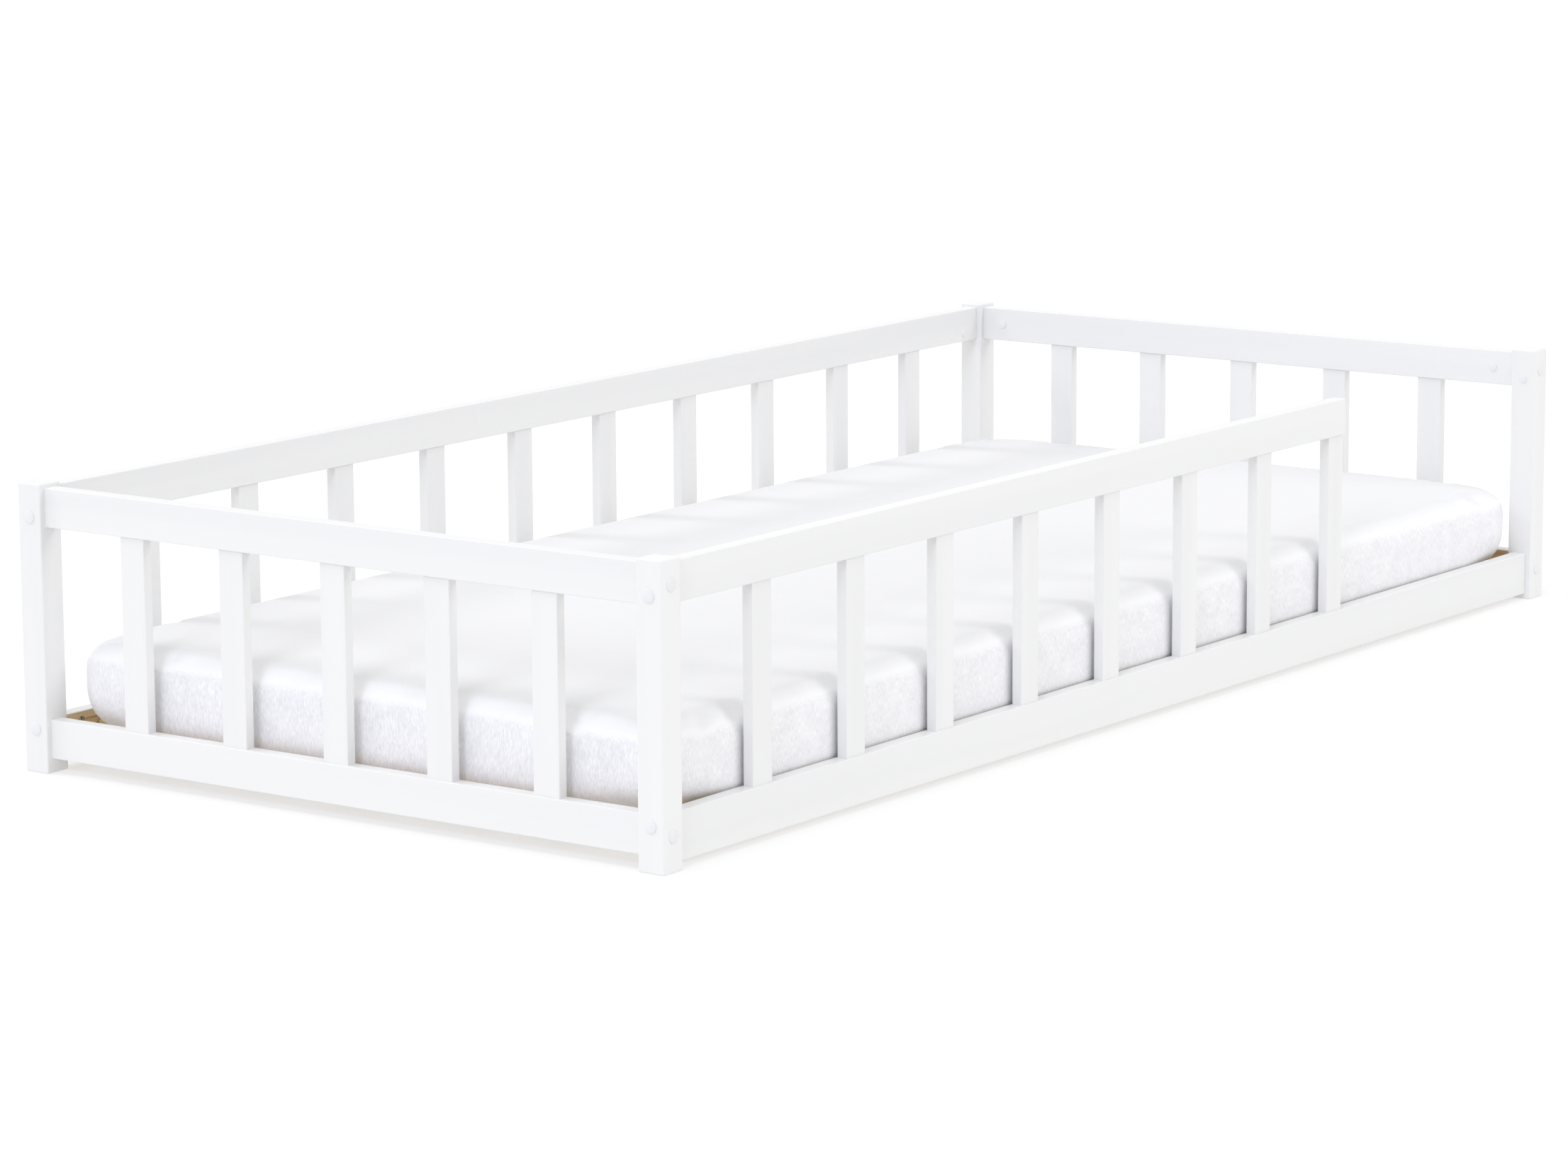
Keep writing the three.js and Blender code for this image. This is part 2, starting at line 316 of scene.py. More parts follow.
@dataclass(frozen=True)
class TerrySheet(Finish):
    """White cotton terry, knitted with cut loops and pulled tight over the mattress.

    It gives a dull, downy surface. Down the sides the pile stands in short upright tufts, with
    a soft mottle where it is brushed one way or the other. On top it lies fine and even. The
    rounded edge is painted whitest, a painted highlight, and the top a shade darker, painted
    shade: the colour follows how far the surface looks upwards.
    """

    # The edge colour is a painted highlight on the rounded edge, and the top colour is painted
    # shade on top.
    edge_pile: str = "#EEEEEF"
    side_pile: str = "#F3F3F4"
    top_pile: str = "#DBDBDC"
    tuft_shade: str = "#E9E8EC"
    tuft: float = 1.4 * MM
    tuft_height: float = 7 * MM
    nap: float = 0.9 * MM
    brushed_patch: float = 24 * MM
    ragged: float = 0.3

    def inputs(self, add: Adder, place: Socket) -> Inputs:
        """The pile, with painted highlight and painted shade by how far the surface looks upwards.

        Args:
            add: Adds a node to the material's tree.
            place: The point, in the piece's own metres.

        Returns:
            What feeds the shader, by socket.
        """
        upward = add("SeparateXYZ", {"Vector": add("TexCoord", out="Normal")})
        tall = stretched(Axis.Z, self.tuft / self.tuft_height)
        upright = add("Mapping", {"Vector": place, "Scale": tall})
        tufts = add("TexNoise", {
            "Vector": upright, "Scale": 1 / self.tuft, "Detail": 3.0, "Roughness": 0.6,
        })
        brushed = add("TexNoise", {
            "Vector": place, "Scale": 1 / self.brushed_patch, "Detail": 3.0,
        })
        nap = add("TexNoise", {"Vector": place, "Scale": 1 / self.nap, "Detail": 2.0})
        # The tufts make the line where the edge turns into the side a ragged one.
        turn = add("Math", {0: tufts, 1: self.ragged, 2: upward}, operation="MULTIPLY_ADD")
        half = self.ragged / 2
        scaled = add("MapRange", {"Value": turn, "From Min": half, "From Max": 1.0 + half})
        # Painted light: the rounded edge is painted lighter as a highlight and the top darker as
        # shade, by how far the surface looks upwards.
        pile_painted_light = add("ValToRGB", {"Fac": scaled}, [
            (0.1, self.side_pile), (0.98, self.top_pile), (0.6, self.edge_pile),
        ])
        side_share = add(
            "MapRange",
            {"Value": scaled, "From Min": 0.2, "From Max": 0.55, "To Min": 1.0, "To Max": 0.15},
            interpolation_type="SMOOTHSTEP",
        )
        pile = add("Mix", {0: 0.25, 2: tufts, 3: brushed}, out=0)
        shades = add("ValToRGB", {"Fac": pile}, [(0.36, self.tuft_shade), (0.64, "#FFFFFF")])
        relief = add("MapRange", {"Value": side_share, "To Min": 0.04, "To Max": 0.3})
        standing = add("Bump", {"Height": tufts, "Strength": relief, "Distance": 0.8 * MM})
        return {
            "Base Color": add(
                "Mix", {0: side_share, 6: pile_painted_light, 7: shades}, data_type="RGBA",
                blend_type="MULTIPLY",
            ),
            "Roughness": 0.95, "IOR": 1.45, "Sheen Weight": 0.2, "Sheen Roughness": 0.5,
            "Normal": add("Bump", {
                "Height": nap, "Strength": 0.2, "Distance": 0.4 * MM, "Normal": standing,
            }),
        }


@dataclass(frozen=True)
class WovenCotton(Finish):
    """Plain woven cotton: a fine square weave, matt, slightly off white."""

    light: str = "#F4F3F0"
    dark: str = "#DEDCD8"
    thread: float = 1.0 * MM

    def inputs(self, add: Adder, place: Socket) -> Inputs:
        """The weave.

        Args:
            add: Adds a node to the material's tree.
            place: The point, in the piece's own metres.

        Returns:
            What feeds the shader, by socket.
        """
        # A wave repeats every 2 pi / 20 / scale along its axis.
        scale = 2 * math.pi / 20 / (2 * self.thread)
        warp, weft = (
            add("TexWave", {"Vector": place, "Scale": scale}, bands_direction=way) for way in "XY"
        )
        weave = add("Math", {0: warp, 1: weft}, operation="MULTIPLY")
        return {
            "Base Color": add("ValToRGB", {"Fac": weave}, [(0.0, self.dark), (0.6, self.light)]),
            "Roughness": 0.9, "IOR": 1.45,
            "Normal": add("Bump", {"Height": weave, "Strength": 0.5, "Distance": 0.3 * MM}),
        }


@dataclass(frozen=True)
class Speckled(Finish):
    """A material of one colour, which varies a little with a fine grain."""

    dark: str
    light: str
    grain: float
    stops: tuple[float, float]
    detail: float = 2.0
    distortion: float = 0.0
    roughness: tuple[float, float] | None = None
    relief: tuple[float, float] | None = None
    even: tuple[tuple[str, object], ...] = ()

    def inputs(self, add: Adder, place: Socket) -> Inputs:
        """The grain, and what it changes.

        Args:
            add: Adds a node to the material's tree.
            place: The point, in the piece's own metres.

        Returns:
            What feeds the shader, by socket.
        """
        speck = add("TexNoise", {
            "Vector": place, "Scale": 1 / self.grain, "Detail": self.detail,
            "Distortion": self.distortion,
        })
        colours = list(zip(self.stops, (self.dark, self.light)))
        made = {"Base Color": add("ValToRGB", {"Fac": speck}, colours), **dict(self.even)}
        if self.roughness:
            least, most = self.roughness
            made["Roughness"] = add("MapRange", {"Value": speck, "To Min": least, "To Max": most})
        if self.relief:
            strength, height = self.relief
            bump = {"Height": speck, "Strength": strength, "Distance": height}
            made["Normal"] = add("Bump", bump)
        return made


@dataclass(frozen=True)
class MouldedCap(Speckled):
    """Polyethylene, injection moulded: a waxy, even white with a fine spark texture."""

    dark: str = "#DFDFE1"
    light: str = "#E3E3E5"
    grain: float = 0.6 * MM
    stops: tuple[float, float] = (0.35, 0.65)
    relief: tuple[float, float] = (0.2, 0.1 * MM)
    even: tuple[tuple[str, object], ...] = (("Roughness", 0.38), ("IOR", 1.51))


@dataclass(frozen=True)
class ZincSteel(Speckled):
    """Steel with a bright zinc plate: a blue-grey shine, broken up by scuffs from the barrel."""

    dark: str = "#A3A8AE"
    light: str = "#C6CBD0"
    grain: float = 1.2 * MM
    stops: tuple[float, float] = (0.35, 0.6)
    detail: float = 4.0
    distortion: float = 0.6
    roughness: tuple[float, float] = (0.25, 0.5)
    relief: tuple[float, float] = (0.25, 0.1 * MM)
    even: tuple[tuple[str, object], ...] = (("Metallic", 1.0),)


@dataclass(frozen=True)
class OpalFloor(Speckled):
    """Opal acrylic, lit softly from below as on a product table: matt, pale and even."""

    dark: str = "#A2A2A2"
    light: str = "#A5A5A5"
    grain: float = 4 * MM
    stops: tuple[float, float] = (0.3, 0.7)
    even: tuple[tuple[str, object], ...] = (
        ("Roughness", 1.0), ("Specular IOR Level", 0.0),
        ("Emission Color", linear("#FFFFFF")), ("Emission Strength", 0.58),
    )


class Finishes:
    """Every material of the bed, made once and shared by its pieces."""

    def __init__(self) -> None:
        """Makes the materials. Timber has one for each way that its grain runs."""
        self.lacquer = {
            axis: Lacquer(axis).material(f"white_lacquered_pine_{axis.label}") for axis in Axis
        }
        self.pine = {axis: BarePine(axis).material(f"planed_pine_{axis.label}") for axis in Axis}
        self.terry = TerrySheet().material("cotton_terry")
        self.ticking = WovenCotton().material("cotton_ticking")
        self.elastic = WovenCotton(thread=0.8 * MM).material("woven_elastic")
        self.plastic = MouldedCap().material("moulded_polyethylene")
        self.zinc = ZincSteel().material("zinc_plated_steel")


# ------------------------------------------------------------------ making pieces


def placed(name: str, data: bpy.types.ID | Mesh) -> Piece:
    """Puts a new object in the scene.

    Args:
        name: Its name.
        data: What it is made of. A bmesh is freed.

    Returns:
        The object.
    """
    if isinstance(data, Mesh):
        mesh, data = data, bpy.data.meshes.new(name)
        mesh.to_mesh(data)
        mesh.free()
    made = bpy.data.objects.new(name, data)
    bpy.context.scene.collection.objects.link(made)
    return made


def new_piece(
    name: str, mesh: Mesh, body: str, finish: Material | None = None
) -> Piece:
    """Turns a bmesh into a piece that rides on a body.

    Args:
        name: The piece's name.
        mesh: Its shape, in the bed's frame. It is freed.
        body: The body that it moves with.
        finish: Its material, unless it gets that later.

    Returns:
        The new object.
    """
    piece = placed(name, mesh)
    if finish:
        piece.data.materials.append(finish)
    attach(piece, body)
    LOG.info("%s rides on %s", name, body)
    return piece


def apply_modifiers(piece: Piece) -> None:
    """Makes a piece's mesh what its modifiers make of it, and drops them.

    Args:
        piece: The piece.
    """
    seen = piece.evaluated_get(bpy.context.evaluated_depsgraph_get())
    data = bpy.data.meshes.new_from_object(seen)
    old = piece.data
    piece.modifiers.clear()
    piece.data = data
    bpy.data.meshes.remove(old)


def shade(piece: Piece, sharp_angle: float = 40.0) -> None:
    """Shades a piece smoothly, keeps its sharp edges, and weights its normals by face area.

    Args:
        piece: The piece.
        sharp_angle: An edge that turns more than this many degrees stays sharp.
    """
    piece.data.shade_smooth()
    piece.data.set_sharp_from_angle(angle=math.radians(sharp_angle))
    weighted = piece.modifiers.new("weighted_normals", "WEIGHTED_NORMAL")
    weighted.keep_sharp = True
    weighted.weight = 80


def block(low: Vector, high: Vector) -> Mesh:
    """A box between two corners.

    Args:
        low: Its lowest corner.
        high: Its highest corner.

    Returns:
        A new bmesh.
    """
    made = bmesh.new()
    size = Matrix.Diagonal((*(high - low), 1.0))
    bmesh.ops.create_cube(made, size=1.0, matrix=Matrix.Translation((low + high) / 2) @ size)
    return made


def bevel(mesh: Mesh, edges: Iterable[Edge], width: float, segments: int) -> None:
    """Rounds some edges of a bmesh.

    Args:
        mesh: The bmesh.
        edges: The edges to round.
        width: How far each side of the edge is cut back.
        segments: The facets across the round.
    """
    bmesh.ops.bevel(
        mesh, geom=list(edges), offset=width, offset_type="OFFSET", segments=segments,
        profile=0.5, affect="EDGES", clamp_overlap=True, material=-1,
    )


def turned(profile: Sequence[tuple[float, float]], steps: int = 32) -> Mesh:
    """A solid turned about +Z, as on a lathe.

    Args:
        profile: Radius and height of each corner, from one end of the axis to the other.
        steps: The facets round it.

    Returns:
        A new closed bmesh.
    """
    made = bmesh.new()
    corners = [made.verts.new((radius, 0.0, height)) for radius, height in profile]
    edges = [made.edges.new(pair) for pair in zip(corners, corners[1:])]
    bmesh.ops.spin(
        made, geom=corners + edges, cent=(0.0, 0.0, 0.0), axis=(0.0, 0.0, 1.0),
        angle=2 * math.pi, steps=steps, use_merge=True,
    )
    bmesh.ops.remove_doubles(made, verts=made.verts, dist=0.001 * MM)
    bmesh.ops.recalc_face_normals(made, faces=made.faces)
    return made


def moved(mesh: Mesh, matrix: Matrix) -> Mesh:
    """The same bmesh, after a move or a turn."""
    bmesh.ops.transform(mesh, matrix=matrix, verts=mesh.verts)
    return mesh


def facing(place: Vector, direction: Vector) -> Matrix:
    """The turn and move that takes a shape made about +Z to a place in the bed.

    Args:
        place: Where its origin goes.
        direction: Where its +Z goes, along an axis of the bed.

    Returns:
        The matrix.
    """
    turn = Vector((0.0, 0.0, 1.0)).rotation_difference(direction)
    return Matrix.Translation(place) @ turn.to_matrix().to_4x4()


def cut(piece: Piece, tools: Iterable[Mesh]) -> None:
    """Cuts shapes out of a piece.

    Args:
        piece: The piece.
        tools: Closed shapes in the bed's frame. They are freed.
    """
    cutters = [placed("cutter", tool) for tool in tools]
    for cutter in cutters:
        boolean = piece.modifiers.new("cut", "BOOLEAN")
        boolean.operation = "DIFFERENCE"
        boolean.solver = "EXACT"
        boolean.object = cutter
    if cutters:
        bpy.context.view_layer.update()
        apply_modifiers(piece)
    for cutter in cutters:
        data = cutter.data
        bpy.data.objects.remove(cutter)
        bpy.data.meshes.remove(data)


def fastener(name: str, mesh: Mesh, zinc: Material, tools: Iterable[Mesh]) -> None:
    """Makes a steel fastener of the frame.

    Args:
        name: The piece's name.
        mesh: Its shape before it is cut. It is freed.
        zinc: Its material.
        tools: The shapes to cut out of it. They are freed.
    """
    piece = new_piece(name, mesh, FRAME_BODY, zinc)
    cut(piece, tools)
    shade(piece)


@dataclass(frozen=True)
class Bore:
    """A stepped round hole, from its mouth inwards along an axis of the bed."""

    mouth: Vector
    inward: Vector
    steps: tuple[tuple[float, float], ...]
    overrun: float = 1.0 * MM

    def tool(self) -> Mesh:
        """The drill that cuts it. Each step is a radius and the depth that it reaches.

        Returns:
            A closed bmesh in the bed's frame.
        """
        depth = -self.overrun
        profile = [(0.0, depth)]
        for radius, reach in self.steps:
            profile += [(radius, depth), (radius, reach)]
            depth = reach
        return moved(turned(profile + [(0.0, depth)]), facing(self.mouth, self.inward))


# ------------------------------------------------------------------ bed bolts


@dataclass(frozen=True)
class BoltSizes:
    """The holes of one bolted joint."""

    head_radius: float = 7.0 * MM
    head_depth: float = 6.0 * MM
    shaft_radius: float = 3.5 * MM
    nut_radius: float = 5.0 * MM
    nut_depth: float = 15.0 * MM
    nut_from_end: float = 34.0 * MM
    past_nut: float = 8.0 * MM
    overrun: float = 1.0 * MM


@dataclass(frozen=True)
class BoltedJoint:
    """A bolt through a corner post into the end of a rail, with a barrel nut in the rail."""

    end: End
    side: Side
    axis: Axis
    upper: bool
    sizes: BoltSizes = BoltSizes()

    @property
    def label(self) -> str:
        """Where it is, in words for a piece's name."""
        level = "upper" if self.upper else "lower"
        return f"{self.end.label}_{self.side.label}_{self.axis.label}_{level}"

    @property
    def post(self) -> str:
        """The post's node."""
        return f"post_{self.end.label}_{self.side.label}"

    @property
    def rail(self) -> str | None:
        """The rail that it holds.

        Returns:
            The rail's node, or None where the open entry leaves the hole unused.
        """
        level = "top" if self.upper else "bottom"
        if self.axis is Axis.Y:
            return f"{level}_rail_{self.end.label}"
        if self.side is Side.BACK or not self.upper:
            return f"{level}_rail_{self.side.label}"
        return "guard_rail_front" if self.end is End.FOOT else None

    @property
    def outward(self) -> Vector:
        """From the post to the outside, along the bolt."""
        return self.axis.unit(self.end.value if self.axis is Axis.X else self.side.value)

    @property
    def rail_inward(self) -> Vector:
        """From the rail's inner face to the middle of the bed."""
        sideways = Axis.Y.unit(-self.side.value)
        return sideways if self.axis is Axis.X else Axis.X.unit(-self.end.value)

    def height(self) -> float:
        """The bolt's height: lengthwise and crosswise bolts miss each other in the post."""
        upper, lower = (314.0, 54.0) if self.axis is Axis.X else (326.0, 42.0)
        return (upper if self.upper else lower) * MM

    def on_face(self, place: Vector, node: str, direction: Vector) -> Vector:
        """Takes a point straight to one face of a node's box.

        Args:
            place: The point.
            node: The node.
            direction: The way that the face looks, along an axis of the bed.

        Returns:
            The point on the face.
        """
        low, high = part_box(node)
        return Vector(
            to if way > 0 else back if way < 0 else at
            for at, way, back, to in zip(place, direction, low, high)
        )

    def mouth(self) -> Vector:
        """Where the bolt goes in.

        Returns:
            The middle of the hole in the post's outer face.
        """
        low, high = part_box(self.post)
        middle = (low + high) / 2
        middle.z = self.height()
        return self.on_face(middle, self.post, self.outward)

    def through(self) -> float:
        """The length of the hole through the post."""
        low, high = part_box(self.post)
        return (high - low)[self.axis.value]

    def post_face(self) -> Vector:
        """The middle of the hole in the post's inner face, where the rail butts."""
        return self.mouth() - self.outward * self.through()

    def nut_axis(self) -> Vector:
        """The point on the bolt's axis where the nut crosses it."""
        return self.post_face() - self.outward * self.sizes.nut_from_end

    def nut_mouth(self) -> Vector:
        """The middle of the nut's hole in the rail's inner face."""
        return self.on_face(self.nut_axis(), self.rail, self.rail_inward)

    def post_bore(self) -> Bore:
        """The hole through the post, with a pocket for the bolt's head.

        Returns:
            The bore.
        """
        sizes = self.sizes
        steps = (
            (sizes.head_radius, sizes.head_depth),
            (sizes.shaft_radius, self.through() + sizes.overrun),
        )
        return Bore(self.mouth(), -self.outward, steps)

    def rail_bores(self) -> list[Bore]:
        """The holes in the rail.

        Returns:
            The bolt's hole in the rail's end, and the nut's hole in its inner face.
        """
        sizes = self.sizes
        reach = sizes.nut_from_end + sizes.past_nut
        return [
            Bore(self.post_face(), -self.outward, ((sizes.shaft_radius, reach),)),
            Bore(self.nut_mouth(), -self.rail_inward, ((sizes.nut_radius, sizes.nut_depth),)),
        ]


def bolted_joints() -> list[BoltedJoint]:
    """The four holes of each of the four posts."""
    return [
        BoltedJoint(end, side, axis, upper)
        for end in End for side in Side for axis in (Axis.X, Axis.Y) for upper in (True, False)
    ]


@dataclass
class Hardware:
    """The bolts, barrel nuts and cover caps of the corner joints."""

    finishes: Finishes
    joints: list[BoltedJoint]
    cap_lap: float = 1.2 * MM
    cap_rise: float = 1.9 * MM
    cap_rim: float = 0.5 * MM
    cap_lift: float = 0.02 * MM
    cap_skin: float = 0.2 * MM
    cap_facets: int = 40
    plug_gap: float = 0.15 * MM
    plug_wall: float = 0.9 * MM
    plug_depth: float = 1.6 * MM
    bolt_head_radius: float = 6.0 * MM
    bolt_head_height: float = 4.0 * MM
    bolt_radius: float = 3.0 * MM
    bolt_seat_gap: float = 0.05 * MM
    bolt_end_gap: float = 2.0 * MM
    bolt_tip: float = 1.0 * MM
    bolt_facets: int = 28
    socket: float = 4.0 * MM
    socket_tool: float = 5.0 * MM
    nut_clearance: float = 0.1 * MM
    nut_recess: float = 0.8 * MM
    nut_end_gap: float = 0.2 * MM
    thread_gap: float = 0.02 * MM
    thread_reach: float = 8.0 * MM
    ease: float = 0.5 * MM

    def build(self) -> None:
        """Makes every fastener of the corners."""
        for joint in self.joints:
            sizes = joint.sizes
            self.cap(joint, "outer", joint.mouth(), joint.outward, sizes.head_radius)
            if joint.rail is None:
                self.cap(joint, "inner", joint.post_face(), -joint.outward, sizes.shaft_radius)
                continue
            self.bolt(joint)
            self.nut(joint)
            if joint.upper:
                self.cap(joint, "inner", joint.nut_mouth(), joint.rail_inward, sizes.nut_radius)
        bolts = sum(joint.rail is not None for joint in self.joints)
        caps = len(self.joints) + sum(joint.upper for joint in self.joints)
        LOG.info("hardware: %d bolts with barrel nuts, %d cover caps", bolts, caps)

    def cap(
        self, joint: BoltedJoint, face: str, place: Vector, outward: Vector, hole: float
    ) -> None:
        """Makes a low domed cap on a short hollow plug.

        Args:
            joint: The joint that it covers.
            face: Which face of it, in a word for the piece's name.
            place: The middle of the hole's mouth.
            outward: The way that the cap faces.
            hole: The hole's radius. A hole narrower than the nut's gets the nut's cap.
        """
        plug = hole - self.plug_gap
        bore, depth = plug - self.plug_wall, -self.plug_depth
        top = max(hole, joint.sizes.nut_radius) + self.cap_lap
        rim, rise = self.cap_rim, self.cap_rise * top / (joint.sizes.head_radius + self.cap_lap)
        dome = [
            (top * math.sin(turn), rim + (rise - rim) * math.cos(turn))
            for turn in (math.radians(step) for step in range(0, 90, 9))
        ]
        profile = dome + [
            (top, rim), (top, self.cap_lift), (plug, self.cap_lift), (plug, depth),
            (bore, depth), (bore, -self.cap_skin), (0.0, -self.cap_skin),
        ]
        mesh = moved(turned(profile, self.cap_facets), facing(place, outward))
        name = f"cap_{joint.label}_{face}"
        shade(new_piece(name, mesh, FRAME_BODY, self.finishes.plastic))

    def bolt(self, joint: BoltedJoint) -> None:
        """Makes a socket-headed bolt, with its head at the bottom of the post's pocket.

        Args:
            joint: The joint that it holds.
        """
        sizes, ease, tip = joint.sizes, self.ease, self.bolt_tip
        seat = sizes.head_depth - self.bolt_seat_gap
        head, shaft, top = self.bolt_head_radius, self.bolt_radius, seat - self.bolt_head_height
        end = joint.through() + sizes.nut_from_end + sizes.past_nut - self.bolt_end_gap
        profile = [
            (0.0, top), (head - ease, top), (head, top + ease), (head, seat), (shaft, seat),
            (shaft, end - tip), (shaft - tip, end), (0.0, end),
        ]
        place = facing(joint.mouth(), -joint.outward)
        across = self.socket / math.sqrt(3)
        hexagon = bmesh.new()
        bmesh.ops.create_cone(
            hexagon, cap_ends=True, segments=6, radius1=across, radius2=across,
            depth=self.socket_tool, matrix=place @ Matrix.Translation((0.0, 0.0, top)),
        )
        mesh = moved(turned(profile, self.bolt_facets), place)
        fastener(f"bolt_{joint.label}", mesh, self.finishes.zinc, [hexagon])

    def nut(self, joint: BoltedJoint) -> None:
        """Makes a barrel nut: a short dowel with a slot in its end and a hole across it.

        Args:
            joint: The joint that it holds.
        """
        sizes, ease = joint.sizes, self.ease
        radius = sizes.nut_radius - self.nut_clearance
        top, bottom = -self.nut_recess, self.nut_end_gap - sizes.nut_depth
        profile = [
            (0.0, top), (radius - ease, top), (radius, top - ease), (radius, bottom + ease),
            (radius - ease, bottom), (0.0, bottom),
        ]
        place = facing(joint.nut_mouth(), joint.rail_inward)
        thread, reach = self.bolt_radius + self.thread_gap, self.thread_reach
        across = turned([(0.0, -reach), (thread, -reach), (thread, reach), (0.0, reach)])
        slot = block(Vector((-0.6, -6.0, -1.4)) * MM, Vector((0.6, 6.0, 1.0)) * MM)
        tools = [
            moved(across, facing(joint.nut_axis(), joint.outward)),
            moved(slot, place @ Matrix.Translation((0.0, 0.0, top))),
        ]
        name = f"barrel_nut_{joint.label}"
        fastener(name, moved(turned(profile), place), self.finishes.zinc, tools)


# ------------------------------------------------------------------ timber


@dataclass
class Bar:
    """One straight piece of planed timber that stands for a CAD node."""

    node: str
    grain: Axis
    ease: float
    eased_ends: tuple[float, ...] = ()
    bores: list[Bore] = field(default_factory=list)
    bare_face: Vector | None = None
    bare: bool = False
    ease_facets: int = 3
    sharp_angle: float = 30.0

    def build(self, finishes: Finishes) -> None:
        """Makes the bar in its node's place.

        Args:
            finishes: The bed's materials.
        """
        low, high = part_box(self.node)
        mesh = block(low, high)
        bevel(mesh, self.eased_edges(mesh, low, high), self.ease, self.ease_facets)
        piece = new_piece(f"{self.node}_timber", mesh, FRAME_BODY)
        cut(piece, [bore.tool() for bore in self.bores])
        self.dress(piece, finishes, low, high)
        shade(piece, self.sharp_angle)
        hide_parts(self.node)

    def eased_edges(self, mesh: Mesh, low: Vector, high: Vector) -> list[Edge]:
        """The edges that the maker rounds: the long ones, and those round an eased end.

        Args:
            mesh: The square bar.
            low: Its lowest corner.
            high: Its highest corner.

        Returns:
            The edges.
        """
        number = self.grain.value
        ends = {-1.0: low[number], 1.0: high[number]}
        chosen = []
        for edge in mesh.edges:
            first, second = (vert.co[number] for vert in edge.verts)
            lengthwise = abs(first - second) > 1.0 * MM
            at_end = any(abs(first - ends[sign]) < 0.1 * MM for sign in self.eased_ends)
            if lengthwise or at_end:
                chosen.append(edge)
        return chosen

    def dress(self, piece: Piece, finishes: Finishes, low: Vector, high: Vector) -> None:
        """Gives the outside its finish, and leaves the holes and any bare face as plain wood.

        Args:
            piece: The piece.
            finishes: The bed's materials.
            low: The bar's lowest corner.
            high: Its highest corner.
        """
        wood = finishes.pine[self.grain]
        for coat in (wood if self.bare else finishes.lacquer[self.grain], wood):
            piece.data.materials.append(coat)
        for face in piece.data.polygons:
            inset = min(min(face.center[i] - low[i], high[i] - face.center[i]) for i in range(3))
            inside = inset > self.ease + 0.2 * MM
            bare = self.bare_face is not None and face.normal.dot(self.bare_face) > 0.99
            face.material_index = 1 if inside or bare else 0


@dataclass
class TimberFrame:
    """The posts, rails and balusters of the fence."""

    finishes: Finishes
    joints: list[BoltedJoint]
    post_ease: float = 1.8 * MM
    rail_ease: float = 1.3 * MM
    baluster_ease: float = 1.0 * MM

    def build(self) -> None:
        """Makes every piece of the fence."""
        for made in (self.posts(), self.rails(), self.balusters()):
            for bar in made:
                bar.build(self.finishes)
            LOG.info("timber: %d pieces from %s to %s", len(made), made[0].node, made[-1].node)

    def posts(self) -> list[Bar]:
        """The four corner posts, rounded all over and drilled for their bolts."""
        return [
            Bar(
                f"post_{end.label}_{side.label}", Axis.Z, self.post_ease, (-1.0, 1.0),
                [j.post_bore() for j in self.joints if j.end is end and j.side is side],
            )
            for end in End for side in Side
        ]

    def rails(self) -> list[Bar]:
        """The eight rails. The lower ones are bare on the face that the mattress hides.

        Returns:
            The rails, in order of their names.
        """
        made = []
        for node in sorted(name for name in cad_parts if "rail" in name):
            joints = [joint for joint in self.joints if joint.rail == node]
            bores = [bore for joint in joints for bore in joint.rail_bores()]
            grain = Axis.Y if node.endswith(("foot", "head")) else Axis.X
            free = (1.0,) if node == "guard_rail_front" else ()
            bare = joints[0].rail_inward if node.startswith("bottom") else None
            made.append(Bar(node, grain, self.rail_ease, free, bores, bare))
        return made

    def balusters(self) -> list[Bar]:
        """The flat uprights between the rails."""
        nodes = sorted(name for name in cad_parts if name.startswith("baluster_"))
        return [Bar(node, Axis.Z, self.baluster_ease) for node in nodes]


